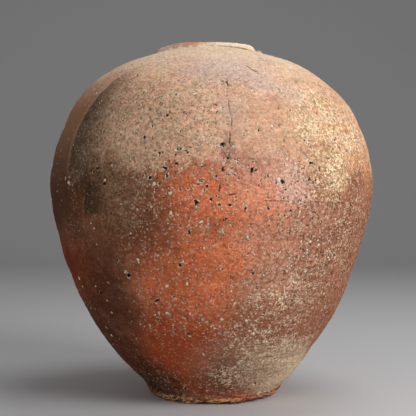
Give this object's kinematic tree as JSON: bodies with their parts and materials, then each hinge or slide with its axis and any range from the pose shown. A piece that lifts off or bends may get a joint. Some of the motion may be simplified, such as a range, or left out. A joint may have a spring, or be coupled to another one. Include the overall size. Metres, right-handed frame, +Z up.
{
  "type": "stoneware storage jar",
  "caption": "Coil-built stoneware storage jar: flat base disc, full round belly, broad shoulder, low collar and rolled lip round a small mouth. It stands on its flat foot.",
  "frame": {"origin": "on the floor under the middle of the belly", "axes": "+Z up through the mouth, -Y towards the pictured side"},
  "size_m": [0.4004, 0.3979, 0.4322],
  "materials": {
    "foot_clay": "worn raw stoneware, rough",
    "flashed_clay": "unglazed, flame-flashed red, matt with feldspar grains",
    "ashed_clay": "unglazed, pale with dry ash, matt",
    "rim_clay": "unglazed, smoothed by hand, matt"
  },
  "bodies": {
    "root": {"base_disc": "foot_clay", "wall_belt_1": "flashed_clay", "wall_belt_2": "flashed_clay", "wall_belt_3": "flashed_clay", "wall_belt_4": "flashed_clay", "wall_belt_5": "flashed_clay", "wall_belt_6": "ashed_clay", "wall_belt_7": "ashed_clay", "wall_belt_8": "ashed_clay", "shoulder_crown": "ashed_clay", "mouth_collar": "rim_clay", "lip_coil": "rim_clay"}
  },
  "joints": []
}
